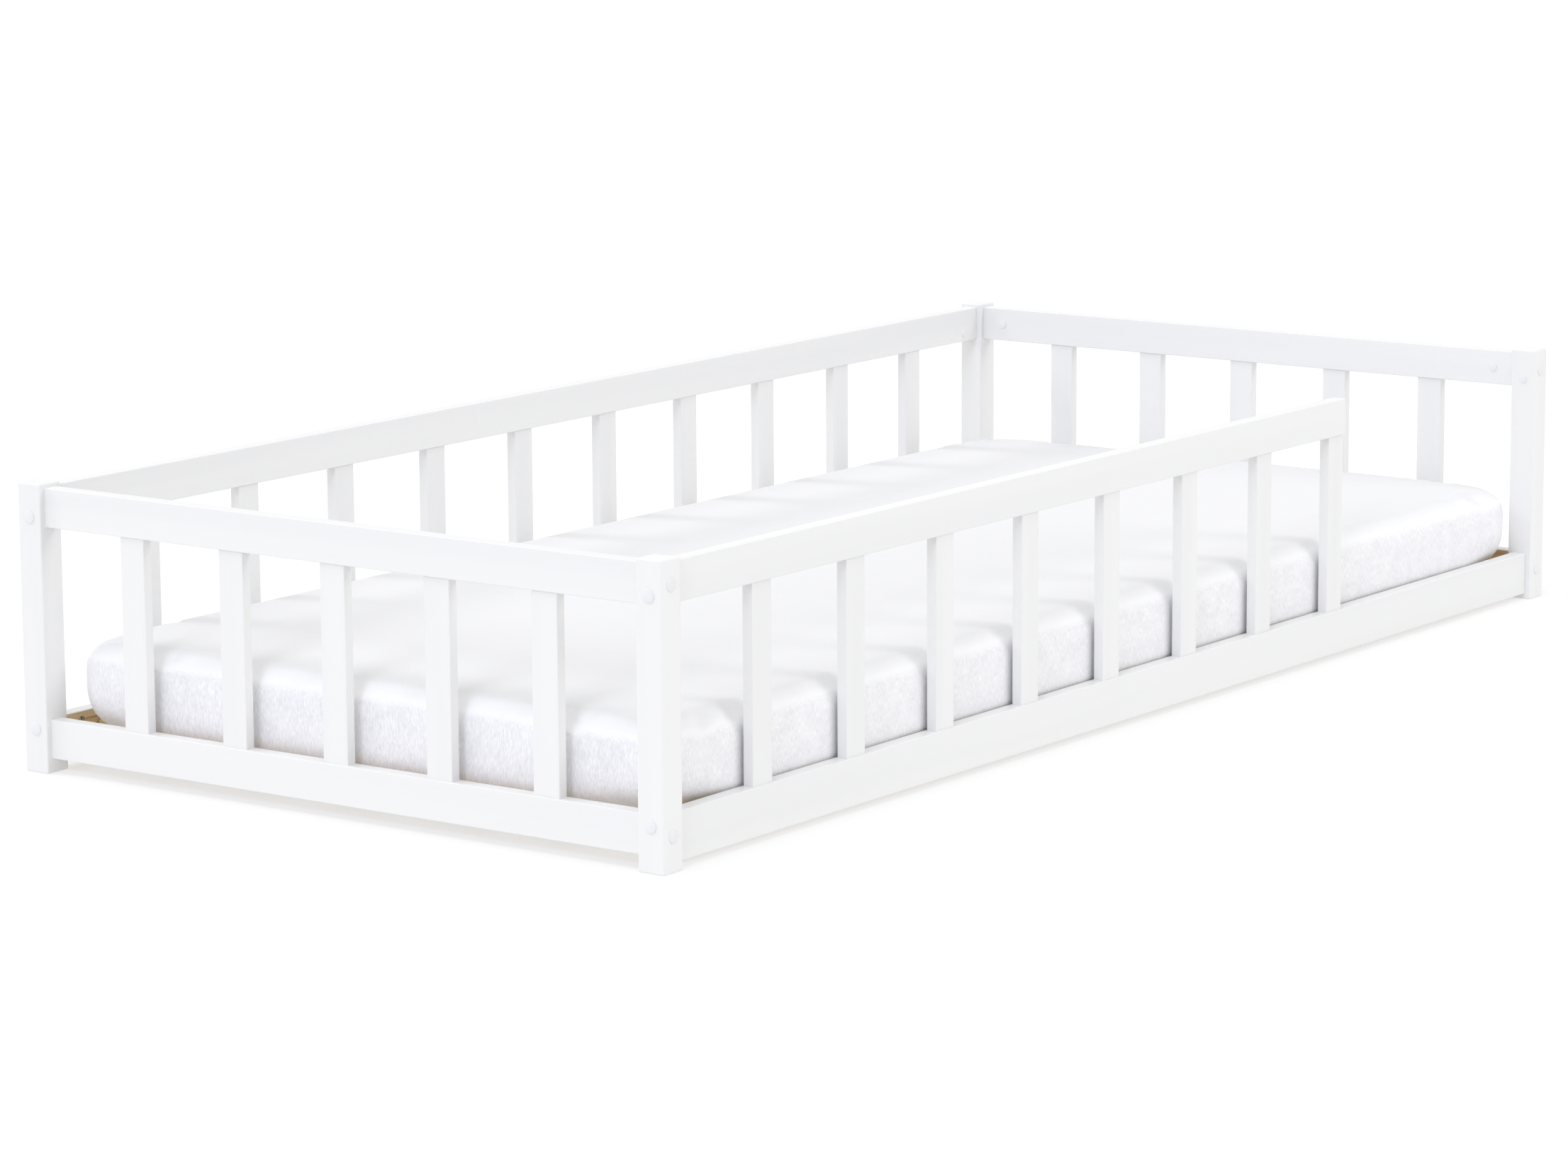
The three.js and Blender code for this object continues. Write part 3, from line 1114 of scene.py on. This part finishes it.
@dataclass
class SlattedBase:
    """The ledgers inside the long rails, and the slats screwed down on them."""

    finishes: Finishes
    slat_ease: float = 2.0 * MM
    ledger_ease: float = 1.0 * MM
    screw_in: float = 12.0 * MM
    head_radius: float = 4.0 * MM
    head_height: float = 2.4 * MM
    head_ease: float = 0.3 * MM
    shank_radius: float = 2.0 * MM
    screw_length: float = 35.0 * MM
    point: float = 4.0 * MM
    screw_facets: int = 20
    sunk: float = 0.4 * MM
    hole_gap: float = 0.3 * MM
    sink_gap: float = 0.4 * MM
    sink_taper: float = 0.6 * MM
    sink_depth: float = 1.6 * MM
    hole_depth: float = 17.0 * MM

    def build(self) -> None:
        """Makes the ledgers, the slats and their screws."""
        for side in Side:
            Bar(f"ledger_{side.label}", Axis.X, self.ledger_ease, bare=True).build(self.finishes)
        slats = sorted(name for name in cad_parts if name.startswith("slat_"))
        for node in slats:
            places = self.screw_places(node)
            holes = [self.countersink(place) for place in places]
            Bar(node, Axis.Y, self.slat_ease, (-1.0, 1.0), holes, bare=True).build(self.finishes)
            for side, place in zip(Side, places):
                self.screw(f"screw_{node}_{side.label}", place)
        LOG.info("base: 2 ledgers, %d slats, %d screws", len(slats), 2 * len(slats))

    def screw_places(self, node: str) -> list[Vector]:
        """Where a slat's screws go in, over the middle of each ledger.

        Args:
            node: The slat's node.

        Returns:
            One point on the slat's top for each side.
        """
        low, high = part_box(node)
        middle = (low.x + high.x) / 2
        return [
            Vector((middle, y, high.z)) for y in (low.y + self.screw_in, high.y - self.screw_in)
        ]

    def countersink(self, place: Vector) -> Bore:
        """The hole for one screw, opened out for its head.

        Args:
            place: Its mouth.

        Returns:
            The bore.
        """
        wide, narrow = self.head_radius + self.hole_gap, self.shank_radius + self.hole_gap
        return Bore(place, Axis.Z.unit(-1.0), (
            (wide, self.sunk + self.sink_gap), (wide - self.sink_taper, self.sink_depth),
            (narrow, self.hole_depth),
        ))

    def screw(self, name: str, place: Vector) -> None:
        """Makes a countersunk screw with a cross recess.

        Args:
            name: The piece's name.
            place: The mouth of its hole.
        """
        head, shank, ease = self.head_radius, self.shank_radius, self.head_ease
        top, length = -self.sunk, self.screw_length
        mesh = turned([
            (0.0, top), (head - ease, top), (head, top - ease), (shank, top - self.head_height),
            (shank, self.point - length), (0.0, -length),
        ], self.screw_facets)
        recess = [
            block(Vector((-wide, -long, -1.6)) * MM, Vector((wide, long, 1.0)) * MM)
            for wide, long in ((0.45, 2.2), (2.2, 0.45))
        ]
        move = Matrix.Translation(place - Vector((0, 0, self.sunk)))
        tools = [moved(tool, move) for tool in recess]
        fastener(name, moved(mesh, Matrix.Translation(place)), self.finishes.zinc, tools)


# ------------------------------------------------------------------ mattress


def share(value: float) -> float:
    """A value kept between 0 and 1."""
    return min(max(value, 0.0), 1.0)


@dataclass(frozen=True)
class RoundedPlan:
    """A rectangle with round corners, seen from above."""

    centre: Vector
    half_length: float
    half_width: float
    corner: float
    least_corner: float = 0.45

    def inset(self, amount: float) -> "RoundedPlan":
        """The plan drawn in by an amount, with its corners still round."""
        return RoundedPlan(
            self.centre, self.half_length - amount, self.half_width - amount,
            max(self.corner - amount, self.least_corner * self.corner),
        )

    def arm(self, place: Vector) -> tuple[Vector, Vector]:
        """How a point lies from the rectangle that joins the corners' centres.

        Args:
            place: The point. Its height is ignored.

        Returns:
            The nearest point of that rectangle, flat and from the plan's centre, and the way
            from there to the point.
        """
        flat = Vector((place.x - self.centre.x, place.y - self.centre.y))
        reach_x, reach_y = self.half_length - self.corner, self.half_width - self.corner
        inner = Vector((
            min(max(flat.x, -reach_x), reach_x), min(max(flat.y, -reach_y), reach_y),
        ))
        return inner, flat - inner

    def gaps(self, place: Vector) -> tuple[float, float]:
        """How far inside the ends and the sides a point is."""
        return (
            self.half_length - abs(place.x - self.centre.x),
            self.half_width - abs(place.y - self.centre.y),
        )

    def depth(self, place: Vector) -> float:
        """How far inside the outline a point is, and negative outside it."""
        distance = self.arm(place)[1].length
        return self.corner - distance if distance > 1e-9 else min(self.gaps(place))

    def nearest(self, place: Vector) -> Vector:
        """Takes a point to the outline.

        Args:
            place: The point.

        Returns:
            The point of the outline nearest to it, at the same height.
        """
        inner, way = self.arm(place)
        out = inner + way * (self.corner / max(way.length, 1e-9))
        return Vector((self.centre.x + out.x, self.centre.y + out.y, place.z))

    def outline(self, spacing: float) -> list[Vector]:
        """Points round the outline, evenly spaced.

        Args:
            spacing: About how far apart they are.

        Returns:
            The points, at height 0, without a repeat of the first.
        """
        straight = 2 * (self.half_length - self.corner), 2 * (self.half_width - self.corner)
        bends = max(int(math.pi / 2 * self.corner / spacing), 3)
        points = []
        for quarter, (sign_x, sign_y) in enumerate(((1, -1), (1, 1), (-1, 1), (-1, -1))):
            turn = quarter * math.pi / 2
            along = straight[1 - quarter % 2]
            steps = max(int(along / spacing), 1)
            step = Vector((-math.sin(turn), math.cos(turn)))
            hub = Vector((sign_x * straight[0] / 2, sign_y * straight[1] / 2))
            start = hub + Vector((math.cos(turn), math.sin(turn))) * self.corner
            points += [start + step * (along * (number / steps)) for number in range(steps)]
            hub = hub + step * along
            for number in range(bends):
                angle = turn + math.pi / 2 * number / bends
                points.append(hub + Vector((math.cos(angle), math.sin(angle))) * self.corner)
        return [Vector((self.centre.x + p.x, self.centre.y + p.y, 0.0)) for p in points]


@dataclass
class Mattress:
    """A foam core in a ticking cover, with a fitted terry sheet pulled over it."""

    finishes: Finishes
    node: str = "mattress"
    cloth: float = 1.5 * MM
    swell: float = 4.0 * MM
    side_give: float = 1.0 * MM
    corner: float = 46.0 * MM
    corner_facets: int = 10
    top_roll: float = 28.0 * MM
    bottom_roll: float = 6.0 * MM
    roll_facets: int = 8
    corner_reach: float = 140.0 * MM
    corner_height: float = 48.0 * MM
    corner_pull: float = 25.0 * MM
    pull_gain: float = 1.25
    top_drop: float = 8.0 * MM
    top_reach: float = 120.0 * MM
    underside: float = 53.0 * MM
    voxel: float = 8.0 * MM
    pressure: float = 4.0
    settle: int = 14
    fill: float = 0.9
    tuck: float = 90.0 * MM
    sewn_corner: float = 0.96
    mouth_height: float = 6.0 * MM
    hem_width: float = 10.0 * MM
    hem_thickness: float = 1.8 * MM
    hem_step: float = 6.0 * MM
    ripple: float = 0.25 * MM
    ripples: float = 90.0

    def build(self) -> None:
        """Makes the core, the sheet and the sheet's hem."""
        core = self.core()
        sheet = self.sheet(core)
        hem = self.hem()
        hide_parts(self.node)
        for piece in (core, sheet, hem):
            LOG.info("%s: %d faces", piece.name, len(piece.data.polygons))

    def plan(self, inset: float) -> RoundedPlan:
        """The mattress's outline from above.

        Args:
            inset: How far it is drawn in.

        Returns:
            The outline.
        """
        low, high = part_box(self.node)
        middle = (low + high) / 2
        whole = RoundedPlan(middle, (high.x - low.x) / 2, (high.y - low.y) / 2, self.corner)
        return whole.inset(inset)

    def core(self) -> Piece:
        """The foam core: a rounded block, swollen by a short cloth simulation.

        Returns:
            The piece.
        """
        low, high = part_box(self.node)
        shrink = Vector((1.0, 1.0, 0.0)) * (self.cloth - self.side_give)
        low, high = low + shrink, high - shrink
        low.z, high.z = self.underside, high.z - self.cloth - self.swell / 2
        mesh = block(low, high)
        upright = [e for e in mesh.edges if abs(e.verts[0].co.z - e.verts[1].co.z) > 1.0 * MM]
        bevel(mesh, upright, self.corner - self.cloth, self.corner_facets)
        for level, roll in ((high.z, self.top_roll), (low.z, self.bottom_roll)):
            rim = [e for e in mesh.edges if all(abs(v.co.z - level) < 0.01 * MM for v in e.verts)]
            bevel(mesh, rim, roll, self.roll_facets)
        piece = new_piece("mattress_core", mesh, MATTRESS_BODY)
        remesh = piece.modifiers.new("even_faces", "REMESH")
        remesh.mode = "VOXEL"
        remesh.voxel_size = self.voxel
        bpy.context.view_layer.update()
        apply_modifiers(piece)
        self.pull_corners(piece)
        self.swell_out(piece, low.z)
        piece.data.materials.append(self.finishes.ticking)
        piece.data.shade_smooth()
        return piece

    def pull_corners(self, piece: Piece) -> None:
        """Rounds the core at its corners, where the sheet's elastic draws it in most.

        Args:
            piece: The core. Its mesh is changed.
        """
        plan = self.plan(self.cloth)
        top = self.underside + self.corner_height
        crest = max(vert.co.z for vert in piece.data.vertices)
        for vert in piece.data.vertices:
            place = vert.co
            from_corner = max(plan.gaps(place))
            dip = share(1.0 - from_corner / self.top_reach)
            up = share((place.z - self.underside) / (crest - self.underside))
            vert.co.z -= self.top_drop * dip * dip * up * up
            near = share(1.0 - from_corner / self.corner_reach)
            down = share((top - place.z) / self.corner_height)
            if near == 0.0 or down == 0.0:
                continue
            near = near * near * (3.0 - 2.0 * near) * self.pull_gain
            inner, outward = plan.arm(place)
            if outward.length < 1.0 * MM:
                flat = inner + outward
                outward = Vector((math.copysign(1.0, flat.x), math.copysign(1.0, flat.y)))
            fade = share(1.0 - plan.depth(place) / self.corner_reach)
            pull = self.corner_pull * near * (1.0 - math.sqrt(1.0 - down * down)) * fade
            outward.normalize()
            vert.co.x -= outward.x * pull
            vert.co.y -= outward.y * pull

    def swell_out(self, piece: Piece, floor: float) -> None:
        """Blows the core up a little, as foam fills its cover, and flattens it where it lies.

        Args:
            piece: The core. Its mesh is changed.
            floor: The height of the slats' side of the core.
        """
        start = [vert.co.copy() for vert in piece.data.vertices]
        cloth = piece.modifiers.new("foam_pressure", "CLOTH")
        settings = cloth.settings
        settings.quality = 5
        settings.use_pressure = True
        settings.uniform_pressure_force = self.pressure
        settings.effector_weights.gravity = 0.0
        cloth.point_cache.frame_start = 1
        cloth.point_cache.frame_end = self.settle
        scene = bpy.context.scene
        for number in range(1, self.settle + 1):
            scene.frame_set(number)
        seen = piece.evaluated_get(bpy.context.evaluated_depsgraph_get())
        swollen = [vert.co.copy() for vert in seen.data.vertices]
        piece.modifiers.clear()
        scene.frame_set(1)
        give = (self.side_give, self.side_give, self.swell)
        for vert, before, after in zip(piece.data.vertices, start, swollen):
            step = Vector(min(max(s, -most), most) for s, most in zip(after - before, give))
            vert.co = before + step
            vert.co.z = max(vert.co.z, floor)

    def sheet(self, core: Piece) -> Piece:
        """The fitted sheet: the core's skin, a cloth's thickness out, open under the middle.

        Args:
            core: The core that it lies on.

        Returns:
            The piece.
        """
        mesh = bmesh.new()
        mesh.from_mesh(core.data)
        mesh.normal_update()
        for vert in mesh.verts:
            vert.co += vert.normal * self.cloth
        mouth = self.plan(self.tuck)
        level = self.underside + self.mouth_height
        middles = ((face, face.calc_center_median()) for face in mesh.faces)
        under = [face for face, at in middles if at.z < level and mouth.depth(at) > 0.0]
        bmesh.ops.delete(mesh, geom=under, context="FACES")
        for vert in mesh.verts:
            if vert.is_boundary:
                vert.co = mouth.nearest(vert.co)
        piece = new_piece(
            "fitted_sheet", mesh, MATTRESS_BODY, self.finishes.terry
        )
        piece.data.shade_smooth()
        return piece

    def hem(self) -> Piece:
        """The elastic band round the sheet's mouth, under the mattress, slightly gathered.

        Returns:
            The piece.
        """
        mesh = bmesh.new()
        middle = self.underside - self.cloth
        loops = []
        for inset in (self.tuck - self.hem_width / 2, self.tuck + self.hem_width / 2):
            verts = [
                mesh.verts.new((at.x, at.y, middle + noise.noise(at * self.ripples) * self.ripple))
                for at in self.plan(inset).outline(self.hem_step)
            ]
            loops += [mesh.edges.new(pair) for pair in zip(verts, verts[1:] + verts[:1])]
        bmesh.ops.bridge_loops(mesh, edges=loops)
        bmesh.ops.recalc_face_normals(mesh, faces=mesh.faces)
        bmesh.ops.solidify(mesh, geom=mesh.faces[:], thickness=self.hem_thickness)
        bmesh.ops.recalc_face_normals(mesh, faces=mesh.faces)
        lift = middle - sum(vert.co.z for vert in mesh.verts) / len(mesh.verts)
        bmesh.ops.translate(mesh, vec=(0.0, 0.0, lift), verts=mesh.verts)
        piece = new_piece("sheet_hem", mesh, MATTRESS_BODY, self.finishes.elastic)
        shade(piece)
        return piece


# ------------------------------------------------------------------ studio


@dataclass(frozen=True)
class SoftLamp:
    """A large soft lamp a long way off, so that its light is even over the bed."""

    name: str
    source: tuple[float, float, float]
    strength: float
    spread: float
    colour: str = "#FFFFFF"

    def build(self) -> None:
        """Adds the lamp: source is the way to it, strength is in W/m2, spread in degrees."""
        data = bpy.data.lights.new(self.name, "SUN")
        data.energy = self.strength
        data.angle = math.radians(self.spread)
        data.color = linear(self.colour)[:3]
        lamp = placed(self.name, data)
        lamp.rotation_mode = "QUATERNION"
        lamp.rotation_quaternion = (-Vector(self.source)).to_track_quat("-Z", "Y")


@dataclass
class Studio:
    """A pale floor, a white room, soft lamps and the camera."""

    floor_size: float = 60.0
    room: str = "#FFFFFF"
    room_strength: float = 0.82
    lamps: tuple[SoftLamp, ...] = (
        SoftLamp("back_window", (-0.3, 1.0, 0.75), 0.62, 16.0),
        SoftLamp("foot_window", (-1.0, -0.2, 0.6), 0.74, 22.0, "#E8EBFF"),
        SoftLamp("front_window", (0.35, -1.0, 0.6), 0.58, 25.0),
        SoftLamp("ceiling", (-0.1, 0.1, 1.0), 0.62, 50.0),
    )
    eye: tuple[float, float, float] = (-5.5626, -3.9221, 1.3648)
    forward: tuple[float, float, float] = (0.79736, 0.57601, -0.18008)
    upward: tuple[float, float, float] = (0.14919, 0.10099, 0.98364)
    lens: float = 120.88
    sensor: float = 36.0

    def build(self) -> None:
        """Sets up everything round the bed."""
        self.floor()
        self.surroundings()
        for lamp in self.lamps:
            lamp.build()
        self.camera()
        LOG.info("studio: floor, room, %d lamps and camera", len(self.lamps))

    def floor(self) -> None:
        """A pale floor under the bed."""
        mesh = bmesh.new()
        bmesh.ops.create_grid(mesh, x_segments=2, y_segments=2, size=self.floor_size / 2)
        floor = placed("studio_floor", mesh)
        floor.data.materials.append(OpalFloor().material("opal_acrylic"))

    def surroundings(self) -> None:
        """An even white room, shown without a film curve so that white stays white."""
        bpy.context.scene.view_settings.view_transform = "Standard"
        world = bpy.data.worlds.new("white_room")
        world.use_nodes = True
        back = world.node_tree.nodes["Background"]
        back.inputs["Color"].default_value = linear(self.room)
        back.inputs["Strength"].default_value = self.room_strength
        bpy.context.scene.world = world

    def camera(self) -> None:
        """A long lens from low in front of the foot end, towards the open entry."""
        data = bpy.data.cameras.new("camera")
        data.sensor_fit = "HORIZONTAL"
        data.sensor_width = self.sensor
        data.lens = self.lens
        data.clip_end = 100.0
        back = -Vector(self.forward).normalized()
        right = Vector(self.upward).cross(back).normalized()
        turn = Matrix((right, back.cross(right), back)).transposed().to_4x4()
        camera = placed("camera", data)
        camera.matrix_world = Matrix.Translation(Vector(self.eye)) @ turn
        bpy.context.scene.camera = camera


# ------------------------------------------------------------------ the bed


def main() -> None:
    """Builds the bed and its studio, one sub-assembly after another."""
    logging.basicConfig(level=logging.INFO, format="%(name)s: %(message)s")
    Studio().build()
    finishes = Finishes()
    joints = bolted_joints()
    TimberFrame(finishes, joints).build()
    Hardware(finishes, joints).build()
    SlattedBase(finishes).build()
    Mattress(finishes).build()


if __name__ == "__main__":
    main()
